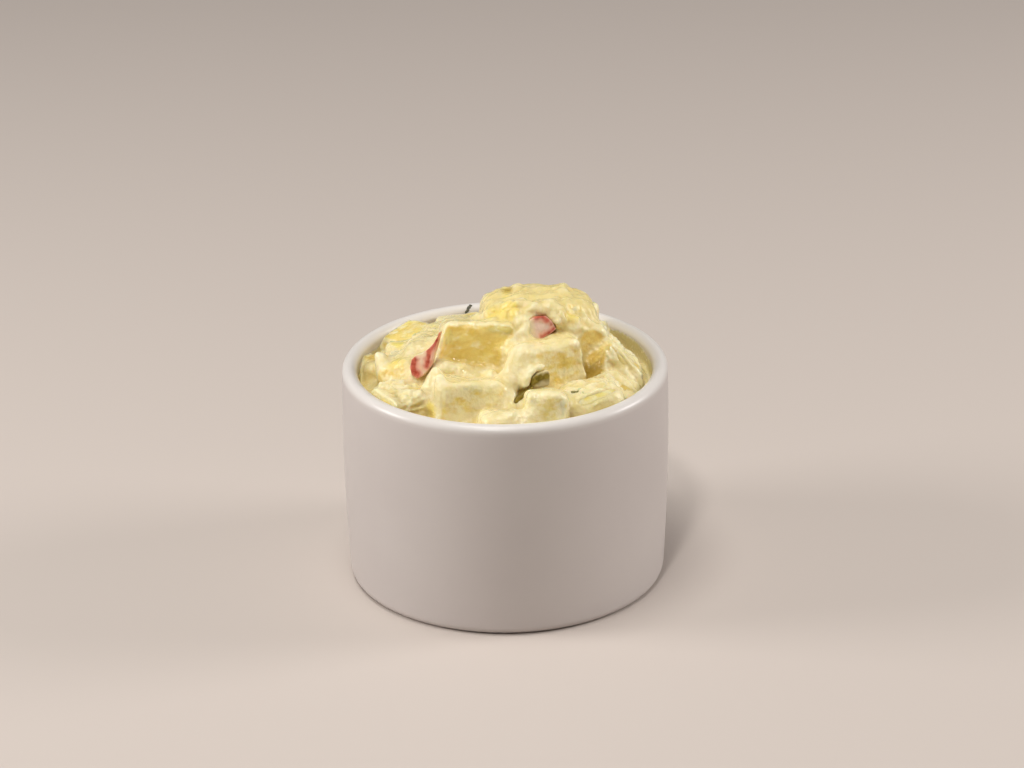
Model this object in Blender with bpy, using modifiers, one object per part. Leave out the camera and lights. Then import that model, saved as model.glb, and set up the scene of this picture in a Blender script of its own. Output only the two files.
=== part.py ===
"""Potato salad heaped in a white straight-sided ramekin.

Metres, +Z up. The origin is the centre of the ramekin's foot, and -Y is the front. The salad is one heap:
a core of dressing with potato dice fused into it. The strips of red pepper and gherkin that show are
pieces of their own, each in a pocket of the heap.
"""

import math
import random

import bmesh
import bpy
from mathutils import Euler, Vector, noise

MM = 0.001

# Ramekin
RIM_RADIUS = 45.0 * MM
BASE_RADIUS = 44.0 * MM
WALL_BOW = 0.7 * MM
BOWL_HEIGHT = 62.5 * MM
WALL = 4.2 * MM
FLOOR = 5.0 * MM
BASE_CORNER = 2.6 * MM
INNER_CORNER = 7.0 * MM
FOOT_INNER_RADIUS = 37.0 * MM
FOOT_RECESS = 1.2 * MM
TURN_STEPS = 72
WALL_STEPS = 5
CORNER_STEPS = 4
LIP_STEPS = 6

# Clearance between touching pieces
GAP = 0.3 * MM

# Heap core: the level of the dressing between the dice
CORE_PEAK = 69.5 * MM
CORE_PEAK_X = 6.0 * MM
CORE_PEAK_Y = 8.0 * MM
WALL_LEVEL_BACK = 57.5 * MM
WALL_LEVEL_FRONT = 56.5 * MM
WALL_LEVEL_SIDE_DROP = 2.0 * MM
CORE_LUMP = 1.6 * MM
CORE_LUMP_SPAN = 9.0 * MM
CORE_STEPS = 56
CORE_RINGS = 14
CORE_OVERLAP = 1.0 * MM
TRIM_TOP = 90.0 * MM

# Potato dice
DICE_EDGE_ROUND = 2.2 * MM
DICE_CORNER_SHIFT = 0.11
FIRST_SEED = 7

# Each die: centre, size and turn about X, Y and Z in degrees, in millimetres
DICE = {
    "wide_slab": ((-8.1, -6.6, 67.4), (21.6, 10.0, 18.0), (-13, 5, -3)),
    "front_left": ((-10.2, -22.2, 60.6), (18.8, 14.5, 15.5), (-4, 5, 13)),
    "centre": ((12.4, -11.6, 64.4), (15.8, 10.5, 17.5), (-5, 0, 30)),
    "centre_side": ((5.4, -14.6, 63.6), (6.4, 9.0, 16.5), (-6, -6, 24)),
    "front_small": ((11.2, -32.2, 61.2), (11.6, 9.0, 12.0), (-8, 3, 4)),
    "front_low": ((0.8, -35.0, 57.6), (14.0, 9.0, 9.0), (-12, 2, 4)),
    "left_front": ((-28.0, -20.4, 56.8), (16.5, 13.0, 12.5), (4, 6, 38)),
    "left_middle": ((-28.2, -4.4, 59.0), (10.5, 12.0, 13.0), (-6, -10, -24)),
    "under_left": ((-21.6, -5.6, 59.6), (12.0, 12.0, 13.0), (6, 4, 12)),
    "left_inner": ((-20.0, 3.4, 62.2), (12.5, 11.0, 13.0), (4, -4, -8)),
    "left_back": ((-26.4, 8.0, 60.8), (11.0, 7.5, 9.0), (-14, -8, 14)),
    "top_left": ((0.2, 4.6, 72.9), (13.5, 13.0, 14.0), (6, -2, 14)),
    "top_middle": ((9.6, 6.0, 75.2), (14.0, 13.0, 12.0), (-4, 3, -8)),
    "top_right": ((18.0, 4.6, 73.0), (12.0, 13.0, 13.0), (4, 20, 22)),
    "right_bridge": ((20.8, 0.4, 68.6), (11.0, 12.0, 10.0), (-8, 14, 10)),
    "right_back": ((28.0, -1.0, 61.5), (12.0, 17.0, 13.0), (-8, 48, 6)),
    "right_edge": ((29.6, -11.5, 56.6), (12.0, 12.0, 11.0), (-2, 30, -20)),
    "right_front": ((23.4, -23.8, 58.6), (14.5, 12.0, 11.0), (-4, 2, 30)),
    "under_centre": ((-2.5, -14.0, 57.5), (13.0, 12.0, 12.0), (10, 6, 40)),
    "behind_slab": ((-8.0, 7.6, 63.0), (14.0, 12.0, 12.0), (-8, 4, 20)),
    "back_left": ((-14.5, 16.0, 60.2), (17.0, 13.0, 13.0), (-6, -6, 18)),
    "back_middle": ((1.5, 20.5, 66.0), (17.0, 14.0, 13.0), (-16, 4, -10)),
    "back_right": ((16.8, 19.4, 65.2), (14.0, 15.0, 13.0), (-14, 12, 30)),
    "right_far": ((24.5, 17.0, 56.4), (13.0, 12.0, 11.0), (-8, 14, 10)),
    "left_far": ((-26.5, 23.0, 56.8), (12.5, 12.0, 11.0), (-12, -8, 40)),
    "rim_back_left": ((-11.0, 31.0, 57.0), (15.0, 11.5, 11.5), (-14, -4, 16)),
    "rim_back": ((5.5, 33.0, 57.6), (14.0, 10.5, 12.0), (-12, 2, -12)),
    "rim_back_right": ((20.4, 28.6, 57.6), (13.0, 12.0, 12.0), (-12, 8, -32)),
    "rim_left": ((-34.0, 9.0, 54.6), (9.5, 12.0, 10.5), (0, -8, 8)),
    "rim_right": ((33.0, 6.5, 52.0), (9.0, 12.0, 10.5), (-4, 20, -6)),
}

# Corners worn away: the corner's side along the die's X, Y and Z, and how far it is drawn in, in millimetres
WORN_CORNERS = {
    "front_left": (((1, 1, 1), (-1.0, -2.0, -4.5)), ((-1, 1, 1), (0.0, 0.0, -0.6))),
}

# Vegetable strips: the outline of each one's broad face in its own width and height, then its thickness,
# centre and turn about X, Y and Z in degrees, in millimetres
STRIP_EDGE_ROUND = 0.5 * MM
STRIPS = {
    "red_pepper_left": (
        ((-3.9, 0.0), (-3.7, -5.6), (-1.9, -6.6), (1.6, -5.0), (3.2, -1.2), (4.3, 7.2), (3.0, 6.2), (-0.4, 2.0)),
        2.6,
        (-21.9, -13.4, 70.2),
        (-16, 0, -14),
    ),
    "red_pepper_top": (
        ((-4.6, 0.8), (-3.0, -3.2), (0.6, -3.2), (4.4, -0.6), (1.2, 3.2)),
        4.6,
        (9.7, -6.0, 75.3),
        (-12, 6, 14),
    ),
    "gherkin_upper": (
        ((-3.0, -2.0), (2.2, -2.6), (2.8, 1.6), (-1.4, 0.8)),
        2.6,
        (9.3, -21.8, 67.2),
        (-18, 0, 22),
    ),
    "gherkin_lower": (
        ((-3.6, -2.0), (-2.6, -4.0), (2.6, -0.8), (3.4, 2.6)),
        2.2,
        (4.3, -25.4, 62.8),
        (-18, 0, 16),
    ),
}


def clear_scene():
    for found in list(bpy.data.objects):
        bpy.data.objects.remove(found, do_unlink=True)


def new_collection(name, helpers=False):
    made = bpy.data.collections.new(name)
    made.hide_render = helpers
    bpy.context.scene.collection.children.link(made)
    return made


def new_material(name, colour, roughness):
    made = bpy.data.materials.new(name)
    made.use_nodes = True
    shader = made.node_tree.nodes["Principled BSDF"]
    shader.inputs["Base Color"].default_value = (*colour, 1.0)
    shader.inputs["Roughness"].default_value = roughness
    shader.inputs["Metallic"].default_value = 0.0
    return made


def add_object(name, mesh, collection):
    made = bpy.data.objects.new(name, mesh)
    collection.objects.link(made)
    return made


def set_material(target, material):
    target.data.materials.clear()
    target.data.materials.append(material)


def mark_helper(helper):
    helper.hide_render = True
    helper.display_type = "WIRE"


def apply_modifiers(target):
    """Puts the evaluated mesh on the object in place of its modifiers."""
    bpy.context.view_layer.update()
    graph = bpy.context.evaluated_depsgraph_get()
    finished = bpy.data.meshes.new_from_object(target.evaluated_get(graph))
    target.modifiers.clear()
    target.data = finished


def turned(name, outline, collection, steps):
    """A solid of revolution about Z. Its outline of (radius, height) runs from the bottom up the outer side."""
    mesh = bpy.data.meshes.new(name)
    points = [(radius, 0.0, height) for radius, height in outline]
    mesh.from_pydata(points, [(i, i + 1) for i in range(len(points) - 1)], [])
    made = add_object(name, mesh, collection)
    screw = made.modifiers.new("Turn", "SCREW")
    screw.axis = "Z"
    screw.steps = steps
    screw.render_steps = steps
    screw.use_merge_vertices = True
    screw.merge_threshold = 0.00001
    screw.use_normal_flip = True
    apply_modifiers(made)
    return made


def arc(centre, radius, start, end, steps):
    """Points on an arc in the (radius, height) plane, angles in degrees."""
    angles = [math.radians(start + (end - start) * i / steps) for i in range(steps + 1)]
    return [(centre[0] + radius * math.cos(a), centre[1] + radius * math.sin(a)) for a in angles]


def steps_between(low, high, steps):
    return [low + (high - low) * i / steps for i in range(steps + 1)]


def outer_radius(height):
    """The outer wall leans out a little and bows gently."""
    share = height / BOWL_HEIGHT
    return BASE_RADIUS + (RIM_RADIUS - BASE_RADIUS) * share + WALL_BOW * 4 * share * (1 - share)


def inner_radius(height):
    return outer_radius(min(height, BOWL_HEIGHT)) - WALL


def cavity_outline(offset, top):
    """The inside of the ramekin, offset inwards, from the wall's top down to the axis at the floor."""
    corner_height = FLOOR + INNER_CORNER
    corner_radius = inner_radius(corner_height) - INNER_CORNER
    wall = [(inner_radius(z) - offset, z) for z in steps_between(top, corner_height, WALL_STEPS)]
    corner = arc((corner_radius, corner_height), INNER_CORNER - offset, 0, -90, CORNER_STEPS)
    return [*wall, *corner[1:], (0.0, FLOOR + offset)]


def bowl_outline():
    """From the middle of the underside, up the outer wall, over the lip and down to the middle of the floor."""
    lip = WALL / 2
    lip_height = BOWL_HEIGHT - lip
    foot = [(0.0, FOOT_RECESS), (FOOT_INNER_RADIUS - FOOT_RECESS, FOOT_RECESS), (FOOT_INNER_RADIUS, 0.0)]
    corner_centre = (outer_radius(BASE_CORNER) - BASE_CORNER, BASE_CORNER)
    base_corner = arc(corner_centre, BASE_CORNER, -90, 0, CORNER_STEPS)
    outside = [(outer_radius(z), z) for z in steps_between(BASE_CORNER, lip_height, WALL_STEPS)]
    lip_centre = (outer_radius(lip_height) - lip, lip_height)
    lip_arc = arc(lip_centre, lip, 0, 180, LIP_STEPS)
    inside = cavity_outline(0.0, lip_height)
    return [*foot, *base_corner, *outside[1:], *lip_arc[1:], *inside[1:]]


def make_bowl(parts, material):
    bowl = turned("bowl", bowl_outline(), parts, TURN_STEPS)
    set_material(bowl, material)
    return bowl


def dressing_level(x, y):
    """Height of the dressing between the dice: a dome whose foot follows the wall, lower at both sides."""
    wall = inner_radius(BOWL_HEIGHT)
    angle = math.atan2(y, x)
    front_share = 0.5 - 0.5 * math.sin(angle)
    foot = WALL_LEVEL_BACK + (WALL_LEVEL_FRONT - WALL_LEVEL_BACK) * front_share
    foot -= WALL_LEVEL_SIDE_DROP * math.cos(angle) ** 2
    away = math.hypot(x - CORE_PEAK_X, y - CORE_PEAK_Y)
    edge = math.hypot(wall * math.cos(angle) - CORE_PEAK_X, wall * math.sin(angle) - CORE_PEAK_Y)
    rise = max(0.0, 1.0 - (away / edge) ** 2) ** 2
    lumps = noise.noise(Vector((x, y, 0.0)) / CORE_LUMP_SPAN) * CORE_LUMP
    return foot + (CORE_PEAK - foot) * rise + lumps


def make_core(parts):
    """A plug wider and deeper than the cavity, its top shaped to the dressing's level."""
    radius = inner_radius(BOWL_HEIGHT) + CORE_OVERLAP
    top = [(radius * i / CORE_RINGS, BOWL_HEIGHT) for i in range(CORE_RINGS, -1, -1)]
    core = turned("salad", [(0.0, 0.0), (radius, 0.0), *top], parts, CORE_STEPS)
    for vertex in core.data.vertices:
        if vertex.co.z > BOWL_HEIGHT / 2:
            vertex.co.z = dressing_level(vertex.co.x, vertex.co.y)
    return core


def shifted_cube(size, shift, draw, worn):
    """A box in millimetres with its eight corners moved at random by a share of its size, and the worn ones in."""
    block = bmesh.new()
    bmesh.ops.create_cube(block, size=1.0)
    for vertex in block.verts:
        corner = tuple(1 if place > 0 else -1 for place in vertex.co)
        for axis in range(3):
            vertex.co[axis] *= size[axis] * MM * (1 + shift * draw.uniform(-1, 1))
        vertex.co += Vector(worn.get(corner, (0.0, 0.0, 0.0))) * MM
    return block


def plate(outline, thickness, grow):
    """A flat piece in millimetres with its broad faces towards -Y and +Y, grown outwards on every side."""
    block = bmesh.new()
    count = len(outline)
    half = thickness * MM / 2 + grow
    rows = []
    for side in (-half, half):
        row = []
        for i in range(count):
            here = Vector(outline[i]) * MM
            before = (here - Vector(outline[i - 1]) * MM).normalized()
            after = (Vector(outline[(i + 1) % count]) * MM - here).normalized()
            outward = Vector((before.y + after.y, -before.x - after.x))
            outward /= 1 + before.dot(after)
            moved = here + outward * grow
            row.append(block.verts.new((moved.x, side, moved.y)))
        rows.append(row)
    front, back = rows
    block.faces.new(front)
    block.faces.new(back[::-1])
    for i in range(count):
        j = (i + 1) % count
        block.faces.new((front[j], front[i], back[i], back[j]))
    return block


def add_piece(name, block, edge_round, segments, centre, turn, collection):
    """Rounds the block's edges and puts it in place as an object."""
    bmesh.ops.bevel(
        block,
        geom=block.edges[:],
        offset=edge_round,
        segments=segments,
        profile=0.5,
        affect="EDGES",
        clamp_overlap=True,
    )
    bmesh.ops.triangulate(block, faces=block.faces[:])
    bmesh.ops.recalc_face_normals(block, faces=block.faces[:])
    mesh = bpy.data.meshes.new(name)
    block.to_mesh(mesh)
    block.free()
    made = add_object(name, mesh, collection)
    made.location = Vector(centre) * MM
    made.rotation_euler = Euler([math.radians(angle) for angle in turn])
    return made


def add_boolean(target, operation, operand=None, operands=None):
    cut = target.modifiers.new(operation.title(), "BOOLEAN")
    cut.operation = operation
    cut.solver = "MANIFOLD"
    if operands:
        cut.operand_type = "COLLECTION"
        cut.collection = operands
    else:
        cut.object = operand
    apply_modifiers(target)


def shells_of(shape):
    """The mesh's connected sets of vertices."""
    left = set(shape.verts)
    shells = []
    while left:
        shell = set()
        edge_of_search = [left.pop()]
        while edge_of_search:
            vertex = edge_of_search.pop()
            shell.add(vertex)
            for edge in vertex.link_edges:
                other = edge.other_vert(vertex)
                if other in left:
                    left.remove(other)
                    edge_of_search.append(other)
        shells.append(shell)
    return shells


def keep_largest_shell(target):
    """Drops loose scraps and fills hollows that fusing sealed."""
    shape = bmesh.new()
    shape.from_mesh(target.data)
    shells = sorted(shells_of(shape), key=len)
    for shell in shells[:-1]:
        bmesh.ops.delete(shape, geom=list(shell), context="VERTS")
    shape.to_mesh(target.data)
    shape.free()


def make_salad(parts, helpers, material):
    """Core and dice joined, trimmed to the inside of the ramekin, with a pocket round each strip."""
    salad = make_core(parts)
    dice = new_collection("dice")
    for number, (name, (centre, size, turn)) in enumerate(DICE.items()):
        draw = random.Random(FIRST_SEED + number)
        block = shifted_cube(size, DICE_CORNER_SHIFT, draw, dict(WORN_CORNERS.get(name, ())))
        add_piece(name, block, DICE_EDGE_ROUND, 2, centre, turn, dice)
    add_boolean(salad, "UNION", operands=dice)
    for die in list(dice.objects):
        bpy.data.objects.remove(die, do_unlink=True)
    bpy.data.collections.remove(dice)
    cavity = [(0.0, TRIM_TOP), *cavity_outline(GAP, TRIM_TOP)]
    inside = turned("inside", cavity[::-1], helpers, TURN_STEPS)
    mark_helper(inside)
    add_boolean(salad, "INTERSECT", inside)
    for name, (outline, thickness, centre, turn) in STRIPS.items():
        block = plate(outline, thickness, GAP)
        pocket = add_piece(f"{name}_pocket", block, STRIP_EDGE_ROUND, 1, centre, turn, helpers)
        mark_helper(pocket)
        add_boolean(salad, "DIFFERENCE", pocket)
    keep_largest_shell(salad)
    set_material(salad, material)
    return salad


def make_strips(parts, red_pepper, gherkin):
    for name, (outline, thickness, centre, turn) in STRIPS.items():
        block = plate(outline, thickness, 0.0)
        strip = add_piece(name, block, STRIP_EDGE_ROUND, 1, centre, turn, parts)
        set_material(strip, gherkin if name.startswith("gherkin") else red_pepper)


def main():
    clear_scene()
    parts = new_collection("potato_salad")
    helpers = new_collection("cutters", helpers=True)
    china = new_material("china", (0.86, 0.85, 0.83), 0.25)
    potato = new_material("potato_salad", (0.87, 0.76, 0.42), 0.45)
    red_pepper = new_material("red_pepper", (0.62, 0.13, 0.10), 0.35)
    gherkin = new_material("gherkin", (0.20, 0.19, 0.03), 0.40)
    make_bowl(parts, china)
    make_salad(parts, helpers, potato)
    make_strips(parts, red_pepper, gherkin)


main()
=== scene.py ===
"""The looks of a potato salad heaped in a white ramekin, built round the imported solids.

The heap is made as the real one is: boiled potato dice with a dressing that fills the gaps between them,
coats their tops and beads along their cut edges, with strips of red pepper, gherkin and flecks of herb.
Lengths in the tables and the heap's arithmetic are in millimetres, in the solids' frame: the origin is the
centre of the ramekin's foot, +Z is up and -Y is the front. Meshes are in metres.
"""

import itertools
import math
import random

import bmesh
import bpy
import numpy as np
from mathutils import Euler, Matrix, Vector, noise
from mathutils.bvhtree import BVHTree


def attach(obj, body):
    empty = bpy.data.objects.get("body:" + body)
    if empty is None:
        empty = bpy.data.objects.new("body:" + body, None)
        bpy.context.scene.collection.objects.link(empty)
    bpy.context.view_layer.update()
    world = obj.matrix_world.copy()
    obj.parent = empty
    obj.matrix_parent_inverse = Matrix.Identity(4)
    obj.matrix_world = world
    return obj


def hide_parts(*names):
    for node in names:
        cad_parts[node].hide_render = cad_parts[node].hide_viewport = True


MM = 0.001

# Camera, found from the ellipses of the rim and the foot in the 1024 x 768 photograph
CAMERA_PLACE = (0.0019, -0.9143, 0.4550)
CAMERA_PITCH = 23.6
CAMERA_ROLL = -0.7
CAMERA_LENS = 126.56
CAMERA_SENSOR = 36.0

# Studio: a pale floor, a pale surround and soft lights, most from above, the rest from the front and both
# sides. Each light's place in metres, size, power and colour
STAGE_HALF = 3.0
STAGE_COLOUR = (0.60, 0.53, 0.48)
STAGE_ROUGHNESS = 0.7
SURROUND_COLOUR = (0.86, 0.83, 0.82)
SURROUND_POWER = 0.17
LIGHT_AIM = (0.0, 0.0, 0.05)
LIGHTS = {
    "overhead": ((-0.12, -0.10, 1.05), 0.4, 4.5, (1.0, 0.98, 0.94)),
    "front_window": ((-0.15, -0.70, 1.0), 0.12, 3.9, (1.0, 0.98, 0.96)),
    "left_window": ((-0.95, -0.05, 0.45), 0.4, 5.5, (1.0, 0.98, 0.97)),
    "right_window": ((0.95, 0.10, 0.45), 0.4, 5.0, (1.0, 0.97, 0.96)),
}

# Ramekin, as in the solids
RIM_RADIUS = 45.0
BASE_RADIUS = 44.0
WALL_BOW = 0.7
BOWL_HEIGHT = 62.5
WALL = 4.2
FLOOR = 5.0
BASE_CORNER = 2.6
INNER_CORNER = 7.0
FOOT_INNER_RADIUS = 37.0
FOOT_RECESS = 1.2
LIP_STEPS = 20
WALL_STEPS = 24
CORNER_STEPS = 10
TURN_STEPS = 256

# The level of the dressing between the dice, as in the solids, and the share of a height above its slopes
# that counts as distance
CORE_PEAK = 69.5
CORE_PEAK_X = 6.0
CORE_PEAK_Y = 8.0
WALL_LEVEL_BACK = 57.5
WALL_LEVEL_FRONT = 56.5
WALL_LEVEL_SIDE_DROP = 2.0
CORE_LUMP = 1.6
CORE_LUMP_SPAN = 9.0
CORE_SLOPE = 0.85

# The heap is worked out as distances on a grid, and the dressing's surface is drawn through it. A place with
# no shape near it is far, and the noises repeat after so many cells
GRID_STEP = 0.43
GRID_BOX = ((-41.6, 41.6), (-41.6, 41.6), (51.2, 85.6))
GRID_AXES = [np.arange(low, high + GRID_STEP / 2, GRID_STEP) for low, high in GRID_BOX]
GRID_ORIGIN = np.array([low for low, _ in GRID_BOX])
FAR = 50.0
NOISE_CELLS = 32

# Dressing: its coat over a die, the least that is left where it covers one and how far it draws back behind
# a bare cut side, its bead along that side's border, how it thins out and hangs over that side, and over
# what reach the shapes run together
FILM = 0.5
FILM_LUMP = 0.4
SKIN = 0.22
BARE_DIP = 0.12
BEAD = 0.35
BEAD_WIDTH = 0.8
BEAD_OUT = 0.6
THINNING = 2.4
THINNED = 0.5
COAT_ENDS = (-0.7, 1.1)
HANG = 0.7
HANG_ENDS = (0.5, 3.5)
BLEND = 3.2
ROPE_BLEND = 2.2
FILM_BLEND = 1.2
SKIN_BLEND = 0.3
SLUMP = 0.8
RELAX_ROUNDS = 2
SMOOTH_AXES = {"use_axis_x": True, "use_axis_y": True, "use_axis_z": True}

# How far round a die and a rope its effect on the dressing is worked out
DIE_REACH = 3.0
ROPE_REACH = 4.0

# How far the dressing reaches into the ramekin's inner wall, so that no slit shows between them, and the
# gap between its underside and the ramekin's floor
WALL_SINK = 0.4
PLUG_GAP = 0.3

# Noises of the heap, each with its span and seed, and with its size first where it has one of its own: the
# bend of the cut sides, the coat's ragged border, where it is patchy and where it lies thicker. The
# patches also make the ropes uneven, and the way back through the bend is found in a few rounds
BENDS = ((0.9, 11.0, 90), (0.45, 4.6, 96))
UNBEND_ROUNDS = 5
RAGGED = ((1.1, 3.3, 31), (0.5, 1.6, 32))
PATCH = (5.0, 33)
PATCH_SHARE = 0.9
PATCH_ENDS = (-0.5, 0.5)
ROPE_PATCH = 0.3
FILM_LUMPS = (4.3, 34)

# Relief over the whole dressing, each noise with its size, span and shift. Curds and wrinkles lie in some
# regions only, which fade between these shares of their reach. The levels are the values of the ridges,
# curds and wrinkles that leave the surface where it is
SWELL = (0.45, 3.4, 0.0)
CURD = (0.14, 2.4, 7.3)
RIDGE = (0.07, 2.2, 3.1)
GRAIN = (0.09, 0.8, 3.1)
CURDS_SHIFT = 1.7
WRINKLES_SHIFT = 5.0
REGION_ENDS = (0.7, 1.15)
RIDGE_LEVEL = 0.4
CURDS_LEVEL = 0.2
WRINKLES_LEVEL = 0.5

# How thick the dressing lies from where it is only skin to where it has its whole relief, and the share
# of the relief that the skin keeps
THICK_ENDS = (0.1, 0.8)
SKIN_SWELL = 0.35
SKIN_CURDS = 0.3

# How much calmer the relief is on bare sides and in smooth places, and how far from the wall it dies out
BARE_CALM = 0.75
SMOOTH_CALM = 0.7
WALL_CALM_ENDS = (0.6, 3.0)

# How much further from the wall the dressing's painted shade near the wall takes it to be where it lies
# thin on a die, and between what thicknesses that ends
WALL_MARK_LIFT = 3.0
WALL_MARK_ENDS = (0.7, 1.6)

# How far round each point its surroundings count for how shut in it is, and the shade at a gap's bottom
CREVICE_REACHES = (1.2, 3.2)
GAP_SHADE = 0.3
GAP_SHADE_REACH = 3.5

# Potato dice, as in the solids
DICE_EDGE_ROUND = 2.2
DICE_CORNER_SHIFT = 0.11
FIRST_SEED = 7

# How far a cut side is dished, the gap between the dice and the ramekin's wall, and the dice's meshes: they
# are finer on the dice that show most, and a little closer towards all edges than evenly spaced
DISH = 0.05
DICE_TO_WALL = 0.6
WELD = 0.001
DIE_STEPS = 16
HERO_STEPS = 30
EVEN_SHARE = 0.72
HEROES = ("wide_slab", "front_left", "centre", "centre_side", "front_small")

# Dice with looks of their own: the shade, from -1 tan to 1 bright yellow or None where it is left to chance,
# how far the bare sides are smeared with dressing, 0 to 1, and the share of its thickness that the coat has
LOOKS = {
    "wide_slab": (-0.3, 0.15, 0.6),
    "front_left": (0.0, 0.85, 0.6),
    "centre": (-0.2, 0.7, 0.6),
    "centre_side": (None, 0.8, 0.6),
    "front_small": (None, 0.95, 0.6),
    "left_middle": (-0.6, 0.3, 1.0),
    "left_back": (1.0, 0.15, 1.0),
    "top_left": (1.0, 0.1, 0.3),
    "top_middle": (None, 0.5, 0.2),
    "top_right": (None, 0.5, 0.3),
    "right_bridge": (-0.7, 0.1, 1.0),
    "right_back": (-1.0, 0.1, 1.0),
    "right_edge": (-0.8, 0.1, 1.0),
}
PLAIN_LOOK = (None, 0.5, 1.0)

# The die's axis that each of its sides faces along, and which way
SIDES = {"left": (0, -1), "right": (0, 1), "front": (1, -1), "back": (1, 1), "under": (2, -1), "top": (2, 1)}

# Each die: centre, size, turn about X, Y and Z in degrees, and the cut sides that show through the dressing,
# with how bare each is
DICE = {
    "wide_slab": ((-8.1, -6.6, 67.4), (21.6, 10, 18), (-13, 5, -3), {"front": 1.0}),
    "front_left": ((-10.2, -22.2, 60.6), (18.8, 14.5, 15.5), (-4, 5, 13), {"front": 0.9}),
    "centre": ((12.4, -11.6, 64.4), (15.8, 10.5, 17.5), (-5, 0, 30), {"front": 1.0}),
    "centre_side": ((5.4, -14.6, 63.6), (6.4, 9, 16.5), (-6, -6, 24), {"front": 0.25}),
    "front_small": ((11.2, -32.2, 61.2), (11.6, 9, 12), (-8, 3, 4), {"front": 0.9, "left": 0.5}),
    "front_low": ((0.8, -35, 57.6), (14, 9, 9), (-12, 2, 4), {}),
    "left_front": ((-28, -20.4, 56.8), (16.5, 13, 12.5), (4, 6, 38), {"front": 0.5, "right": 0.7}),
    "left_middle": ((-28.2, -4.4, 59), (10.5, 12, 13), (-6, -10, -24), {"front": 0.9}),
    "under_left": ((-21.6, -5.6, 59.6), (12, 12, 13), (6, 4, 12), {}),
    "left_inner": ((-20, 3.4, 62.2), (12.5, 11, 13), (4, -4, -8), {}),
    "left_back": ((-26.4, 8, 60.8), (11, 7.5, 9), (-14, -8, 14), {"front": 0.8, "top": 0.5}),
    "top_left": ((0.2, 4.6, 72.9), (13.5, 13, 14), (6, -2, 14), {"front": 0.9}),
    "top_middle": ((9.6, 6, 75.2), (14, 13, 12), (-4, 3, -8), {"front": 0.2}),
    "top_right": ((18, 4.6, 73), (12, 13, 13), (4, 20, 22), {"front": 0.3, "back": 0.8}),
    "right_bridge": ((20.8, 0.4, 68.6), (11, 12, 10), (-8, 14, 10), {}),
    "right_back": ((28, -1, 61.5), (12, 17, 13), (-8, 48, 6), {"left": 0.5}),
    "right_edge": ((29.6, -11.5, 56.6), (12, 12, 11), (-2, 30, -20), {}),
    "right_front": ((23.4, -23.8, 58.6), (14.5, 12, 11), (-4, 2, 30), {}),
    "under_centre": ((-2.5, -14, 57.5), (13, 12, 12), (10, 6, 40), {}),
    "behind_slab": ((-8, 7.6, 63), (14, 12, 12), (-8, 4, 20), {"top": 0.4}),
    "back_left": ((-14.5, 16, 60.2), (17, 13, 13), (-6, -6, 18), {"back": 0.8, "top": 0.3}),
    "back_middle": ((1.5, 20.5, 66), (17, 14, 13), (-16, 4, -10), {"back": 0.9}),
    "back_right": ((16.8, 19.4, 65.2), (14, 15, 13), (-14, 12, 30), {"back": 0.9, "right": 0.6}),
    "right_far": ((24.5, 17, 56.4), (13, 12, 11), (-8, 14, 10), {"back": 0.7}),
    "left_far": ((-26.5, 23, 56.8), (12.5, 12, 11), (-12, -8, 40), {"left": 0.6, "top": 0.6}),
    "rim_back_left": ((-11, 31, 57), (15, 11.5, 11.5), (-14, -4, 16), {"top": 0.4}),
    "rim_back": ((5.5, 33, 57.6), (14, 10.5, 12), (-12, 2, -12), {"top": 0.7}),
    "rim_back_right": ((20.4, 28.6, 57.6), (13, 12, 12), (-12, 8, -32), {"top": 0.4}),
    "rim_left": ((-34, 9, 54.6), (9.5, 12, 10.5), (0, -8, 8), {"top": 0.5}),
    "rim_right": ((33, 6.5, 52), (9, 12, 10.5), (-4, 20, -6), {}),
}

# Worn corners, as in the solids: the corner's side along the die's X, Y and Z, and how far it is drawn in
WORN_CORNERS = {"front_left": {(1, 1, 1): (-1, -2, -4.5), (-1, 1, 1): (0, 0, -0.6)}}

# Vegetable strips, as in the solids: the outline of each one's broad face in its own width and height, its
# thickness, centre and turn
STRIPS = {
    "red_pepper_left": (
        ((-3.2, -1.2), (-3.6, -3.4), (-2.9, -5.4), (-1.5, -6.4), (0.2, -5.6), (1.3, -4.2), (2.3, -2.6),
         (2.7, -0.9), (3.4, 2.2), (4.5, 7), (4.1, 6.8), (2.9, 4), (1.6, 2.3), (-0.2, 0.9), (-1.8, 0.3)),
        2.6,
        (-21.9, -13.4, 70.2),
        (-16, 0, -14),
    ),
    "red_pepper_top": (
        ((-5, 1.4), (-4.2, -1.7), (-2.2, -2.9), (0.2, -3.1), (2.4, -1.7), (4.2, -0.4), (3, 1.4), (1.2, 3.1),
         (-1.6, 2.9)),
        4.6,
        (9.7, -6, 75.3),
        (-12, 6, 14),
    ),
    "gherkin_upper": (
        ((-3, -1.8), (-2.6, -2.5), (0.2, -2.9), (2.1, -2.6), (2.6, 0.2), (2.2, 1.5), (0, 1.2), (-2, 0.4)),
        2.6,
        (9.3, -21.8, 67.2),
        (-18, 0, 22),
    ),
    "gherkin_lower": (
        ((-3.4, -2), (-3, -3.6), (-1.6, -3.6), (1, -1.6), (3.2, 0.8), (3.4, 2.6), (1.6, 1.8), (-1.4, 0.2)),
        2.2,
        (4.3, -25.4, 62.8),
        (-18, 0, 16),
    ),
}
STRIP_VOXEL = 0.25

# Noises of a strip, each with its size, span and shift: the edges of its marks and of its veil, its lumps
# and its grain
MARK_EDGE = (0.35, 1.1, 2.0)
VEIL_EDGE = (0.6, 1.0, 6.0)
STRIP_LUMPS = (0.16, 1.6, 4.0)
STRIP_GRAIN = (0.07, 0.6, 9.0)

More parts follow.
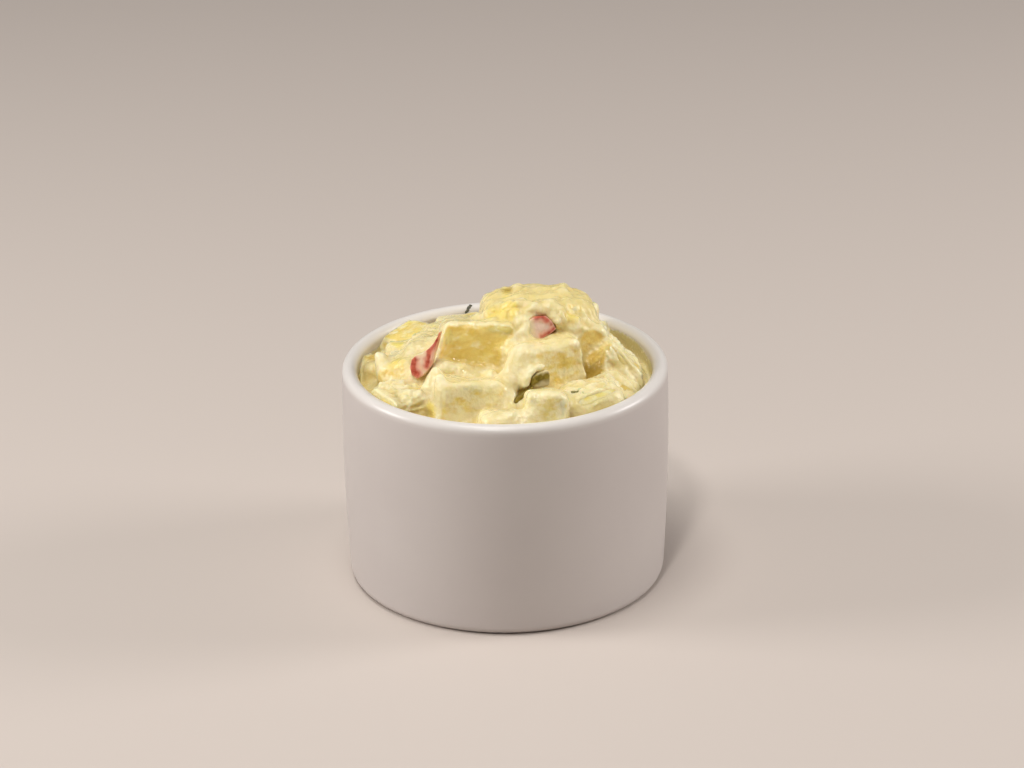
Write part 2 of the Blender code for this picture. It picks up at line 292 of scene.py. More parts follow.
# The room that the dressing leaves round each strip: how far in front of it, how that room widens, the share
# of the strip's thickness that it lays bare, its inset from the outline and how softly its edges end
STRIP_CLEARING = {"red_pepper_left": 6, "red_pepper_top": 1.6, "gherkin_upper": 3.6, "gherkin_lower": 7.5}
STRIP_FLARE = 0.6
STRIP_FLARE_END = 2.5
STRIP_BARE = 0.7
STRIP_INSET = 0.2
STRIP_BLEND = 0.8
STRIP_REACH = 14

# The part of a strip's face that the dressing leaves free, where that isn't the whole face
STRIP_OPENINGS = {
    "red_pepper_top": (
        (-3.3, 1.9), (-3.7, -0.4), (-2.6, -2.6), (0.2, -3.1), (2.4, -1.7), (4.2, -0.4), (3, 1.4), (1.2, 3.1),
        (-1.4, 3),
    ),
    "gherkin_lower": ((2.8, 3), (3.2, 1.6), (0.5, 0), (-1.9, -1.9), (-2.8, -1), (-0.5, 1.2)),
}

# Where each strip's own strong colour shows: a path over its broad face, and how wide it is on either side
STRIP_MARKS = {
    "red_pepper_left": (
        (((3.9, 6.2), (2.9, 3), (1.6, 1.2), (1.5, -1.2), (1.2, -2.6)), 0.75),
        (((-2.5, -1.4), (-2.4, -4.6), (-1.4, -5)), 1),
    ),
    "red_pepper_top": (
        (((-2.2, 2.8), (0.2, 3), (1.4, 2)), 0.65),
        (((1.4, 2.4), (2.6, 0.8)), 0.1),
        (((0.2, -2.4), (1.9, -1.5), (3.4, -0.2)), 0.5),
    ),
    "gherkin_upper": ((((-2.6, -1.2), (0.2, 0.3), (1.6, -0.2)), 0.9),),
    "gherkin_lower": ((((2.8, 2.2), (0.6, 0.2), (-2.4, -1.8)), 1.5),),
}

# Dressing smeared over a strip's face: points of that face and how far each smear reaches
STRIP_VEILS = {
    "red_pepper_left": (((-1.6, 0.2), (-0.2, 0.8)), 0.6),
    "red_pepper_top": (((-4.6, 1.2), (-4, -2.4)), 2.2),
    "gherkin_upper": (((-0.6, 1.5), (2.4, 1.4)), 0.5),
    "gherkin_lower": (((-3.2, -3.4), (-2, -3.4)), 0.5),
}

# Film of dressing left on the inner wall: the middle of each stretch and half its width in degrees about Z,
# and how far up it reaches above the fill. Then its thickness, of which the first part stays in the wall, and
# how it fades out sideways and upwards
WALL_FILMS = ((182, 42, 4.6), (6, 48, 6), (100, 50, 2.2), (-90, 50, 1))
WALL_FILM = 0.8
WALL_FILM_START = 0.5
WALL_FILM_PATCH = 1.2
WALL_FILM_SIDE_ENDS = (0.6, 1.1)
WALL_FILM_TOP_ENDS = (-0.6, 2.0)

# The mound's dice are worn round to this body: its centre, half sizes and the power that squares it
MOUND = ("top_left", "top_middle", "top_right")
MOUND_CENTRE = (8.5, 5, 66)
MOUND_HALF = (17.6, 13, 15.1)
MOUND_POWER = 3.0
MOUND_BLEND = 2.0
MOUND_WEAR = 0.95

# Ropes and drops of dressing that lie on the heap: the points that each runs through and its radius
DRESSING_ROPES = {
    "left_edge_of_front_left": (((-17.6, -26.7, 68.8), (-17.8, -28.6, 64), (-17.6, -29.4, 58)), 1.2),
    "left_face_of_front_left": (((-19.4, -22, 68.6), (-20.6, -24, 65.4), (-19, -26, 61)), 1.9),
    "behind_front_left": (
        ((-16.8, -13.4, 67.2), (-12.2, -13.6, 65.7), (-8, -13.8, 63.2), (-4.4, -14.2, 61.4)),
        2.2,
    ),
    "lobe_of_centre": (((4.6, -16.8, 71.4), (3, -18.8, 68.6), (2, -20, 65.4)), 2.7),
    "left_of_gherkin_upper": (((5.6, -19.4, 68.4), (5, -21.2, 65.6)), 2),
    "over_red_pepper_top": (((3, -2.8, 78.2), (8.6, -3.4, 78.4), (13.6, -2.6, 77.8)), 3.2),
    "peak_of_front_left": (((-4, -15.8, 65.6), (-3.4, -16.6, 66)), 1.1),
    "right_edge_of_centre": (
        ((19.7, -12, 72.8), (20.2, -12.4, 69), (20.8, -12.4, 65), (22.3, -12.6, 61.4)),
        0.45,
    ),
    "fold_on_centre": (((7.6, -19, 72.8), (7.2, -19.2, 69), (5.8, -19.8, 64.6)), 0.6),
    "left_of_red_pepper": (((2.6, -6, 73.4), (4.6, -8.6, 72.8)), 2.4),
    "ridge_of_left_middle": (((-34.4, -1.6, 65), (-32.6, -6.4, 62.4), (-30.4, -10.6, 60)), 2),
    "top_of_left_front": (((-32, -17, 57.8), (-24, -21.6, 57.6)), 5.6),
    "top_of_right_front": (((19, -24, 60.2), (25.2, -23, 61.4), (29, -22.2, 59.6)), 3.4),
    "below_the_mound": (((-6, -1.6, 74), (1, -2.6, 75.4), (5, -4.4, 75.6)), 2.6),
    "beside_red_pepper": (((14.6, -5.6, 76.2), (17, -4, 75), (20, -3, 72.6)), 2),
    "front_blob": (((-2.5, -36, 59.6), (2.6, -35.4, 60.6), (6.4, -36.4, 58.8)), 2.6),
    "above_gherkin_upper": (
        ((5.8, -23.8, 64.9), (5.9, -23, 67.1), (7.6, -21.8, 68.7), (10.1, -20.5, 69.2)),
        0.8,
    ),
    "over_left_of_red_pepper": (((5.8, -7.2, 77.4), (5.3, -7.9, 75.6), (6, -8.8, 73.6)), 1.3),
    "below_gherkin_lower": (((3.8, -28, 60), (6.3, -26.7, 61.9), (8.1, -25.6, 63.4)), 1.2),
    "right_of_front_left": (((0, -20.5, 64.6), (0.6, -24.5, 61.8), (2.4, -29, 59)), 2.3),
}

# Where the dressing is wrinkled: the centre, how far it reaches along X, Y and Z, the way the wrinkles run,
# their width, length and height
WRINKLES = (
    ((31, -4, 65), (9, 16, 13), (0.6, -0.25, -0.75), 2, 11, 0.95),
    ((24, -25, 61), (9, 8, 6), (0.85, 0.5, 0.15), 3.2, 13, 1),
    ((-29, -22, 62), (9, 8, 7), (0.9, 0.2, 0.1), 1.5, 5, 0.9),
)

# Where the dressing is curdled into round lumps: the centre, the reach, and the lumps' span and height
CURDS = (
    ((10, 0, 78), (21, 17, 11), 3.4, 0.65),
    ((31, -4, 64), (10, 16, 13), 1.9, 0.4),
    ((24, -24, 61), (9, 9, 7), 2.2, 0.4),
    ((-29, -20, 60), (10, 10, 8), 2.2, 0.4),
    ((-16, 8, 67), (14, 10, 8), 2.2, 0.5),
)

# Flecks of herb: the middle of each cluster, how far they spread from it and their number
FLECKS = (
    ((-17, 10, 68), (7, 3, 2), 16),
    ((19.2, -27, 62.5), (1, 0.4, 0.3), 9),
    ((10, 24, 68), (14, 8, 3), 14),
    ((0, -4, 66), (26, 24, 4), 3),
)
FLECK_SEED = 5
FLECK_LENGTHS = (0.5, 1.1)
FLECK_WIDTHS = (0.35, 0.7)
FLECK_THICKNESS = 0.3

# How uneven each fleck, bit and drop is, and how often that turns over on one
LUMP_UNEVEN = 0.5
LUMP_TURNS = 2.2

# Bits of gherkin skin in the dressing: each one's place and three sizes
GHERKIN_BITS = (
    ((18, -27.4, 62.5), (1.3, 0.9, 0.6)),
    ((18.8, -27.4, 62.6), (1.5, 1, 0.6)),
    ((19.6, -27.4, 62.8), (1.2, 0.8, 0.5)),
)

# The dark speck on the back of the rim and the drops on the inner wall: each one's place and three sizes
SPECK = (
    ((-10.8, 38.8, 61), (1.2, 0.8, 0.5)),
    ((-10.4, 39.5, 61.9), (1.5, 0.9, 0.5)),
    ((-10, 40.3, 62.4), (1.3, 0.9, 0.5)),
    ((-9.7, 41, 62.5), (1, 0.7, 0.5)),
)
WALL_DROPS = (
    ((-39.5, 10.7, 56.2), (1.3, 1, 0.9)),
    ((-39, 13.4, 57.6), (0.8, 0.7, 0.6)),
    ((39.6, 9, 58.4), (1, 0.8, 0.7)),
    ((38.4, 14, 59.4), (0.7, 0.6, 0.5)),
)

# Bubbles and small drops that stand on the dressing: each one's place and three sizes
BUBBLES = (
    ((29.6, 0, 63.3), (1, 0.9, 0.8)),
    ((31.8, 0, 61.8), (0.9, 0.8, 0.8)),
    ((36, 0, 57.8), (1.1, 0.9, 0.8)),
    ((33, -2, 61), (0.6, 0.6, 0.5)),
    ((34.4, 1, 60.2), (0.7, 0.6, 0.6)),
    ((27.8, -3, 67.6), (0.7, 0.6, 0.5)),
    ((-34.6, -9, 59), (0.8, 0.7, 0.6)),
)

# What the dressing's material reads on a bubble or drop: thick, in the open and away from the wall
LUMP_NUMBERS = {"film": 2, "relief": 0.5, "deep": 0.3, "wall": 9, "spot": -9.0}

# Where the potato's own yellow shows through thin dressing: the middle of each spot and its radius
THIN_SPOTS = (
    ((0.8, -5, 79.6), 3),
    ((-2.6, -3.4, 77.6), 2.2),
    ((1.8, -22.4, 64.2), 1.6),
    ((-19.6, -27.6, 60.4), 2.2),
    ((19, -4, 78), 2),
    ((-28.6, -7.4, 64), 3),
    ((-30.5, -30, 57.5), 2.4),
)

# Where the dressing is thin enough for the potato to tint it: the centre and how far it reaches
TINTS = (
    ((8.5, 2, 78), (21, 17, 9)),
    ((-28, -21, 59), (9, 8, 4)),
    ((24, -28, 58.8), (10, 7, 4)),
    ((-37, 0, 58), (4.5, 13, 6)),
)

# Where the dressing is smooth: the centre and how far it reaches
SMOOTH = (
    ((3, -20, 68.6), (5.5, 5, 6.5)),
    ((-19, -26, 63), (3.5, 7, 8)),
    ((24, -6, 66), (4.5, 7, 8)),
    ((11, -32, 62), (8, 7, 8)),
)

# How moist food bends light and how far it scatters red, green and blue in it, and where the ramekin has
# sharp edges, in degrees
FOOD_IOR = 1.4
FOOD_SCATTER = (1.0, 0.75, 0.40)
BOWL_SHARP = 50.0

# Hollows between the dice that stay open: the points that each runs through and its radius, and the
# dressing that still lines the dice in them
GAPS = {
    "right_of_centre": (((23.9, -5.2, 69.4), (24.2, -6.6, 65.5), (24.4, -9.5, 60.5)), 3.1),
    "top_crease": (((0.2, -1.5, 82.4), (0.8, 8, 81.6)), 0.9),
}
GAP_LINING = 0.3
GAP_LINING_REACH = 1.7
GAP_BLEND = 2.0
LINING_BLEND = 0.8
GAP_EDGE = 1.5


def setting(node, name, value):
    node.inputs[name].default_value = value


def add_object(name, data):
    made = bpy.data.objects.new(name, data)
    bpy.context.scene.collection.objects.link(made)
    return made


def add_shape(name, shape):
    """An object from a bmesh, which is used up."""
    mesh = bpy.data.meshes.new(name)
    shape.to_mesh(mesh)
    shape.free()
    return add_object(name, mesh)


def reshape(target, change):
    """Runs a change of a bmesh on an object's mesh."""
    shape = bmesh.new()
    shape.from_mesh(target.data)
    change(shape)
    shape.to_mesh(target.data)
    shape.free()


def apply_modifiers(target):
    """Puts the evaluated mesh on the object in place of its modifiers."""
    bpy.context.view_layer.update()
    graph = bpy.context.evaluated_depsgraph_get()
    finished = bpy.data.meshes.new_from_object(target.evaluated_get(graph))
    target.modifiers.clear()
    target.data = finished


def read_vectors(items, name):
    flat = np.zeros(len(items) * 3, np.float32)
    items.foreach_get(name, flat)
    return flat.reshape(-1, 3).astype(float)


def move_points(mesh, points):
    """Puts a mesh's points at places in millimetres."""
    mesh.vertices.foreach_set("co", (points * MM).astype(np.float32).ravel())
    mesh.update()


def keep_numbers(mesh, numbers):
    """Keeps numbers on a mesh for its material to read, one for each point or one for them all."""
    for name, values in numbers.items():
        column = np.full(len(mesh.vertices), values, np.float32)
        mesh.attributes.new(name, "FLOAT", "POINT").data.foreach_set("value", column)


def make_camera():
    data = bpy.data.cameras.new("camera")
    data.lens = CAMERA_LENS
    data.sensor_width = CAMERA_SENSOR
    data.clip_start = 0.05
    data.clip_end = 20.0
    camera = add_object("camera", data)
    tilt = Matrix.Rotation(math.radians(90 - CAMERA_PITCH), 4, "X")
    roll = Matrix.Rotation(math.radians(CAMERA_ROLL), 4, "Z")
    camera.matrix_world = Matrix.Translation(CAMERA_PLACE) @ tilt @ roll
    bpy.context.scene.camera = camera


def make_light(name, place, size, power, colour):
    data = bpy.data.lights.new(name, "AREA")
    data.shape = "DISK"
    data.size = size
    data.energy = power
    data.color = colour
    light = add_object(name, data)
    light.location = place
    light.rotation_euler = (Vector(place) - Vector(LIGHT_AIM)).to_track_quat("Z", "Y").to_euler()


def make_studio():
    world = bpy.data.worlds.new("studio")
    bpy.context.scene.world = world
    world.use_nodes = True
    background = world.node_tree.nodes["Background"]
    setting(background, "Color", (*SURROUND_COLOUR, 1.0))
    setting(background, "Strength", SURROUND_POWER)
    for name, values in LIGHTS.items():
        make_light(name, *values)
    shape = bmesh.new()
    bmesh.ops.create_grid(shape, x_segments=1, y_segments=1, size=STAGE_HALF)
    floor = add_shape("floor", shape)
    made, _, shader = new_material("floor", STAGE_ROUGHNESS)
    setting(shader, "Base Color", (*STAGE_COLOUR, 1.0))
    floor.data.materials.append(made)
    bpy.context.scene.view_settings.view_transform = "Standard"


def ease(share):
    return share * share * (3 - 2 * share)


def smooth_step(value, low, high):
    return ease(np.clip((value - low) / (high - low), 0, 1))


def smooth_min(first, second, reach):
    """The smaller of two distances, with a fillet where they come within reach of each other."""
    near = np.maximum(reach - np.abs(first - second), 0) / reach
    return np.minimum(first, second) - near * near * reach / 4


def smooth_max(first, second, reach):
    return -smooth_min(-first, -second, reach)


def blend_corners(grid, low, share):
    """The grid's value at a share of the way from each low cell to the next along every axis."""
    total = np.zeros(share.shape[:-1])
    for corner in itertools.product((0, 1), repeat=3):
        weight = np.prod(np.where(corner, share, 1 - share), axis=-1)
        total += weight * grid[tuple(np.moveaxis((low + corner) % grid.shape, -1, 0))]
    return total


def noise_table(seed):
    return np.random.default_rng(seed).uniform(-1, 1, (NOISE_CELLS,) * 3)


def lumps(points, span, seed):
    """Smooth noise from -1 to 1 that turns over about the given span, at any points."""
    cell = points / span
    low = np.floor(cell).astype(int)
    return blend_corners(noise_table(seed), low, ease(cell - low))


def grid_lumps(span, seed):
    """The same noise as lumps at every point of the grid, worked out one axis at a time."""
    values = noise_table(seed)
    rows = np.eye(NOISE_CELLS)
    for axis, places in enumerate(GRID_AXES):
        low = np.floor(places / span).astype(int)
        share = ease(places / span - low)[:, None]
        weights = rows[low % NOISE_CELLS] * (1 - share) + rows[(low + 1) % NOISE_CELLS] * share
        values = np.moveaxis(np.tensordot(weights, values, (1, axis)), 0, axis)
    return values


def bend_shift(noise_of):
    """How far the bend, which keeps any cut side from being quite flat, moves the places of a noise."""
    rows = [[size * noise_of(span, seed + axis) for axis in range(3)] for size, span, seed in BENDS]
    return np.moveaxis(np.sum(rows, axis=0), 0, -1)


def unbend(bent):
    """The places that the bend moves to the bent points."""
    points = bent
    for _ in range(UNBEND_ROUNDS):
        points = bent - bend_shift(lambda span, seed: lumps(points, span, seed))
    return points


def outer_radius(height):
    share = height / BOWL_HEIGHT
    return BASE_RADIUS + (RIM_RADIUS - BASE_RADIUS) * share + WALL_BOW * 4 * share * (1 - share)


def inner_radius(height):
    return outer_radius(np.minimum(height, BOWL_HEIGHT)) - WALL


def dressing_level(x, y):
    """Height of the dressing between the dice: a dome whose foot follows the wall, lower at both sides."""
    wall = inner_radius(BOWL_HEIGHT)
    angle = math.atan2(y, x)
    front_share = 0.5 - 0.5 * math.sin(angle)
    foot = WALL_LEVEL_BACK + (WALL_LEVEL_FRONT - WALL_LEVEL_BACK) * front_share
    foot -= WALL_LEVEL_SIDE_DROP * math.cos(angle) ** 2
    away = math.hypot(x - CORE_PEAK_X, y - CORE_PEAK_Y)
    edge = math.hypot(wall * math.cos(angle) - CORE_PEAK_X, wall * math.sin(angle) - CORE_PEAK_Y)
    rise = max(0.0, 1.0 - (away / edge) ** 2) ** 2
    lump = noise.noise(Vector((x, y, 0.0)) / CORE_LUMP_SPAN) * CORE_LUMP
    return foot + (CORE_PEAK - foot) * rise + lump


def turn_axes(turn):
    return np.array(Euler([math.radians(angle) for angle in turn]).to_matrix())


def products(share):
    """The eight products of the three axes that a shift of a cube's corners is made of."""
    x, y, z = np.moveaxis(share, -1, 0)
    return np.ones(x.shape), x, y, z, x * y, y * z, z * x, x * y * z


def mound_share(points):
    """1 on the body that the mound's dice are worn to, and more outside it."""
    away = np.abs((points - MOUND_CENTRE) / MOUND_HALF) ** MOUND_POWER
    return away.sum(axis=-1) ** (1 / MOUND_POWER)


class Die:
    """A hand-cut potato die: a box with its corners shifted and its edges rounded."""

    def __init__(self, name, number):
        centre, size, turn, self.bare = DICE[name]
        self.name = name
        self.number = number
        self.centre = np.array(centre)
        self.half = np.array(size) / 2
        self.core = self.half - DICE_EDGE_ROUND
        self.axes = turn_axes(turn)
        self.tone, self.smear, self.coat_share = LOOKS.get(name, PLAIN_LOOK)
        if self.tone is None:
            self.tone = random.Random(name).uniform(-1, 1)
        draw = random.Random(FIRST_SEED + number)
        signs = list(itertools.product((-1, 1), repeat=3))
        shift = [[1 + DICE_CORNER_SHIFT * draw.uniform(-1, 1) for _ in range(3)] for _ in signs]
        worn = WORN_CORNERS.get(name, {})
        drawn_in = [worn.get(corner, (0, 0, 0)) for corner in signs]
        corners = signs * self.half * np.array(shift) + drawn_in
        self.terms = [np.mean(corners * term[:, None], axis=0) for term in products(np.array(signs))]

    def place(self, share):
        """From places in a cube of -1 to 1 to the die's own axes."""
        return sum(term[..., None] * own for term, own in zip(products(share), self.terms))

    def shares(self, bent):
        """From bent points to places in the cube of -1 to 1."""
        local = (bent - self.centre) @ self.axes
        share = local / self.half
        for _ in range(3):
            share = share + (local - self.place(share)) / self.half
        return share

    def distance(self, share):
        past = np.abs(share) * self.half - self.core
        outside = np.linalg.norm(np.maximum(past, 0), axis=-1)
        return outside + np.minimum(past.max(axis=-1), 0) - DICE_EDGE_ROUND

    def side_places(self, side, share):
        """How far points lie inside a cut side's border, and how deep behind the side."""
        axis, sign = SIDES[side]
        inset = self.half - np.abs(share) * self.half
        depth = (1 - share[..., axis] * sign) * self.half[axis]
        return np.delete(inset, axis, axis=-1).min(axis=-1), depth

    def coat(self, share, ragged, patch):
        """How bare each point is, 0 to 1, how much of its thickness the coat keeps there, and its bead.

        The dressing hangs over the tops of the bare sides, thins out towards them and stands in a bead along
        their borders.
        """
        bare = np.zeros(share.shape[:-1])
        kept = np.ones(bare.shape)
        bead = np.zeros(bare.shape)
        hang = HANG * (1 - smooth_step((1 - share[..., 2]) * self.half[2], *HANG_ENDS))
        for side, amount in self.bare.items():
            border, depth = self.side_places(side, share)
            line = border - depth + ragged - hang
            open_patch = smooth_step(2 * amount - 1 + PATCH_SHARE * patch, *PATCH_ENDS)
            bare = np.maximum(bare, smooth_step(line, *COAT_ENDS) * open_patch)
            kept = np.minimum(kept, 1 - THINNED * amount * (1 - smooth_step(depth, 0, THINNING)))
            bead = np.maximum(bead, BEAD * amount * np.exp(-(((line + BEAD_OUT) / BEAD_WIDTH) ** 2)))
        return bare, kept, bead

    def surface(self, steps):
        """Points and faces of the closed die, its bare sides dished a little, as cut potato dries."""
        turns = np.linspace(-1, 1, steps + 1)
        line = EVEN_SHARE * turns + (1 - EVEN_SHARE) * np.sin(turns * math.pi / 2)
        number = np.arange((steps + 1) ** 2).reshape(steps + 1, steps + 1)
        ring = [number[:-1, :-1], number[1:, :-1], number[1:, 1:], number[:-1, 1:]]
        cube = []
        faces = []
        for axis, sign in itertools.product(range(3), (-1, 1)):
            share = np.full((*number.shape, 3), float(sign))
            share[..., (axis + 1) % 3], share[..., (axis + 2) % 3] = np.meshgrid(line, line, indexing="ij")
            faces.append(np.stack(ring[::sign], axis=-1).reshape(-1, 4) + len(cube) * number.size)
            cube.append(share.reshape(-1, 3))
        cube = np.concatenate(cube)
        kept = np.clip(cube * self.half, -self.core, self.core)
        normal = cube * self.half - kept
        normal /= np.linalg.norm(normal, axis=-1, keepdims=True)
        dish = np.zeros(len(cube))
        for side, amount in self.bare.items():
            axis, sign = SIDES[side]
            crown = np.prod(1 - np.delete(cube, axis, axis=-1) ** 4, axis=-1)
            dish = np.maximum(dish, DISH * amount * crown * (cube[:, axis] * sign >= 1))
        local = self.place((kept + DICE_EDGE_ROUND * normal) / self.half) - normal * dish[:, None]
        bent = local @ self.axes.T + self.centre
        if self.name in MOUND:
            over = np.maximum(mound_share(bent) / MOUND_WEAR, 1)[:, None]
            bent = (bent - MOUND_CENTRE) / over + MOUND_CENTRE
        points = unbend(bent)
        most = inner_radius(points[:, 2]) - DICE_TO_WALL
        points[:, :2] *= np.minimum(1, most / np.hypot(points[:, 0], points[:, 1]))[:, None]
        return points, np.concatenate(faces)


def rope_distance(points, path, radius):
    """Distance to a rope of the given radius through the path's points."""
    nearest = FAR
    for start, end in zip(path[:-1], path[1:]):
        along = np.subtract(end, start)
        share = np.clip(((points - start) * along).sum(axis=-1) / (along @ along), 0, 1)
        nearest = np.minimum(nearest, np.linalg.norm(points - start - share[..., None] * along, axis=-1))
    return nearest - radius


def outline_inset(flat, outline):
    """How far points of a plane lie inside an outline, less than zero outside."""
    closed = (*outline, outline[0])
    inside = np.zeros(flat.shape[:-1], bool)
    across, up = np.moveaxis(flat, -1, 0)
    for (x, y), (next_x, next_y) in zip(closed[:-1], closed[1:]):
        straddles = (y > up) != (next_y > up)
        inside ^= straddles & (across < x + (next_x - x) * (up - y) / (next_y - y or 1))
    away = rope_distance(flat, closed, 0)
    return np.where(inside, away, -away)


def grid_points():
    return np.stack(np.meshgrid(*GRID_AXES, indexing="ij"), axis=-1)


def grid_part(places, reach):
    """The grid's slices that cover the box of some places and reach past it."""
    part = []
    for axis, low, high in zip(GRID_AXES, np.min(places, axis=0) - reach, np.max(places, axis=0) + reach):
        first = max(int(np.searchsorted(axis, low)) - 1, 0)
        last = int(np.searchsorted(axis, high)) + 1
        part.append(slice(first, max(last, first + 1)))
    return tuple(part)


def blurred(grid, reach):
    """Mean of each point's surroundings, as far as reach on every side, taken twice for a soft edge."""
    steps = max(1, round(reach / GRID_STEP))
    width = 2 * steps + 1
    for axis in (0, 1, 2, 0, 1, 2):
        size = grid.shape[axis]
        padding = [(0, 0)] * 3
        padding[axis] = (steps + 1, steps)
        total = np.cumsum(np.pad(grid, padding, mode="edge"), axis=axis)
        upper = np.take(total, range(width, width + size), axis=axis)
        grid = (upper - np.take(total, range(size), axis=axis)) / width
    return grid


def strip_clearing(name, points):
    """The part of the grid round a strip, and the room in front of its face that the dressing leaves free."""
    outline, thickness, centre, turn = STRIPS[name]
    part = grid_part([centre], STRIP_REACH)
    own = (points[part] - centre) @ turn_axes(turn)
    inset = outline_inset(own[..., [0, 2]], STRIP_OPENINGS.get(name, outline))
    front = -own[..., 1] - thickness / 2
    behind = -front - thickness * STRIP_BARE
    opening = STRIP_FLARE * np.clip(front, 0, STRIP_FLARE_END)
    return part, np.max([behind, front - STRIP_CLEARING[name], STRIP_INSET - inset - opening], axis=0)


def wall_film(level, radius, patch):
    """Distance to the film of dressing that is left on the inner wall above the fill."""
    xs, ys, zs = GRID_AXES
    angle = np.degrees(np.arctan2(ys, xs[:, None]))
    top = level.copy()
    for middle, half, reach in WALL_FILMS:
        away = np.abs((angle - middle + 180) % 360 - 180) / half
        top += reach * (1 - smooth_step(away, *WALL_FILM_SIDE_ENDS))
    below = top[..., None] + WALL_FILM_PATCH * patch - zs
    thickness = WALL_FILM * smooth_step(below, *WALL_FILM_TOP_ENDS) - WALL_FILM_START
    return inner_radius(zs) - radius - thickness


def fill_grid(dice):
    """What the heap is on the grid.

    The distances to the dressing's surface and to the nearest die's, less than zero inside, the number of
    that die, and how bare of dressing the place is.
    """
    xs, ys, zs = GRID_AXES
    level = np.array([[dressing_level(x, y) for y in ys] for x in xs])
    field = (zs - level[..., None]) * CORE_SLOPE
    nearest = np.full(field.shape, FAR)
    skin = nearest.copy()
    owner = np.zeros(field.shape)
    open_share = np.zeros(field.shape)
    points = grid_points()
    bent = points + bend_shift(grid_lumps)
    ragged = sum(size * grid_lumps(span, seed) for size, span, seed in RAGGED)
    patch = grid_lumps(*PATCH)
    film = FILM + FILM_LUMP * grid_lumps(*FILM_LUMPS)
    for die in dice:
        part = grid_part([die.centre], np.linalg.norm(die.half) + DIE_REACH)
        share = die.shares(bent[part])
        away = die.distance(share)
        if die.name in MOUND:
            away = smooth_max(away, (mound_share(bent[part]) - 1) * MOUND_HALF[2], MOUND_BLEND)
        bare, kept, bead = die.coat(share, ragged[part], patch[part])
        thickness = film[part] * kept * die.coat_share + bead
        field[part] = smooth_min(field[part], away - thickness * (1 - bare), BLEND)
        skin[part] = np.minimum(skin[part], away - SKIN * (1 - bare) + BARE_DIP * bare)
        closer = away < nearest[part]
        for grid, own in ((nearest, away), (owner, die.number), (open_share, bare)):
            grid[part] = np.where(closer, own, grid[part])
    field = blurred(field, SLUMP)
    for path, radius in DRESSING_ROPES.values():
        part = grid_part(path, radius + ROPE_REACH)
        rope = rope_distance(bent[part], path, radius) - ROPE_PATCH * patch[part]
        field[part] = smooth_min(field[part], rope, ROPE_BLEND)
    lining = blurred(np.minimum(nearest, ROPE_REACH), GAP_LINING_REACH) - GAP_LINING
    for path, radius in GAPS.values():
        part = grid_part(path, radius + ROPE_REACH)
        away = rope_distance(points[part], path, radius)
        field[part] = smooth_min(smooth_max(field[part], -away, GAP_BLEND), lining[part], LINING_BLEND)
        emptied = 1 - smooth_step(away, 0, GAP_EDGE)
        skin[part] += (SKIN + BARE_DIP) * emptied
        open_share[part] = np.maximum(open_share[part], emptied)
    for name in STRIPS:
        part, clearing = strip_clearing(name, points)
        field[part] = smooth_max(field[part], -clearing, STRIP_BLEND)
        skin[part] = np.maximum(skin[part], -clearing)
    radius = np.hypot(xs[:, None], ys)[..., None]
    field = smooth_min(field, wall_film(level, radius, patch), FILM_BLEND)
    field = smooth_min(field, skin, SKIN_BLEND)
    field = np.maximum(field, radius - inner_radius(zs) - WALL_SINK)
    return field, nearest, owner, open_share


def surface_net(field):
    """Points and four-sided faces of the surface where the field is zero."""
    inside = field < 0
    corners = list(itertools.product((0, 1), repeat=3))
    cells = [size - 1 for size in field.shape]
    count = np.zeros(cells, int)
    for corner in corners:
        count += inside[tuple(slice(step, step + size) for step, size in zip(corner, cells))]
    crossed = (count > 0) & (count < 8)
    number = np.full(cells, -1)
    number[crossed] = np.arange(crossed.sum())
    low = np.argwhere(crossed)
    values = {corner: field[tuple((low + corner).T)] for corner in corners}
    total = np.zeros(low.shape)
    hits = np.zeros((len(low), 1))
    for first, second in itertools.combinations(corners, 2):
        along = np.subtract(second, first)
        if along @ along > 1:
            continue
        start, end = values[first], values[second]
        hit = (start < 0) != (end < 0)
        share = np.where(hit, start / np.where(hit, start - end, 1), 0)
        total += hit[:, None] * (first + share[:, None] * along)
        hits += hit[:, None]
    faces = []
    for axis in range(3):
        first = [slice(1, -1)] * 3
        second = first.copy()
        first[axis] = slice(0, -1)
        second[axis] = slice(1, None)
        change = inside[tuple(first)].astype(int) - inside[tuple(second)]
        for sign in (1, -1):
            edge = np.argwhere(change == sign) + [0 if other == axis else 1 for other in range(3)]
            ring = []
            for back in ((1, 1), (0, 1), (0, 0), (1, 0))[::sign]:
                cell = edge.copy()
                cell[:, [(axis + 1) % 3, (axis + 2) % 3]] -= back
                ring.append(number[tuple(cell.T)])
            faces.append(np.stack(ring, axis=-1))
    return GRID_ORIGIN + GRID_STEP * (low + total / hits), np.concatenate(faces)


def pick(grid, points):
    """The grid's value at the place nearest to each point."""
    cell = np.rint((points - GRID_ORIGIN) / GRID_STEP).astype(int)
    return grid[tuple(np.clip(cell, 0, np.array(grid.shape) - 1).T)]


def sample(grid, points):
    """The grid's values at any points."""
    cell = (points - GRID_ORIGIN) / GRID_STEP
    low = np.clip(np.floor(cell).astype(int), 0, np.array(grid.shape) - 2)
    return blend_corners(grid, low, np.clip(cell - low, 0, 1))


def crevice_depth(solid):
    """How shut in each point of the grid is, 0 on a crest to 1, and more at the bottom of an open gap."""
    depth = np.mean([blurred(solid.astype(float), reach) for reach in CREVICE_REACHES], axis=0)
    points = grid_points()
    for path, radius in GAPS.values():
        part = grid_part(path, radius + ROPE_REACH)
        away = np.linalg.norm(points[part] - path[-1], axis=-1) - radius
        depth[part] += GAP_SHADE * (1 - smooth_step(away, 0, GAP_SHADE_REACH))
    return depth


def add_mesh(name, points, faces, numbers):
    """An object from points in millimetres, smooth shaded, with numbers on its points."""
    mesh = bpy.data.meshes.new(name)
    mesh.from_pydata((points * MM).tolist(), [], faces.tolist())
    keep_numbers(mesh, numbers)
    mesh.shade_smooth()
    return add_object(name, mesh)


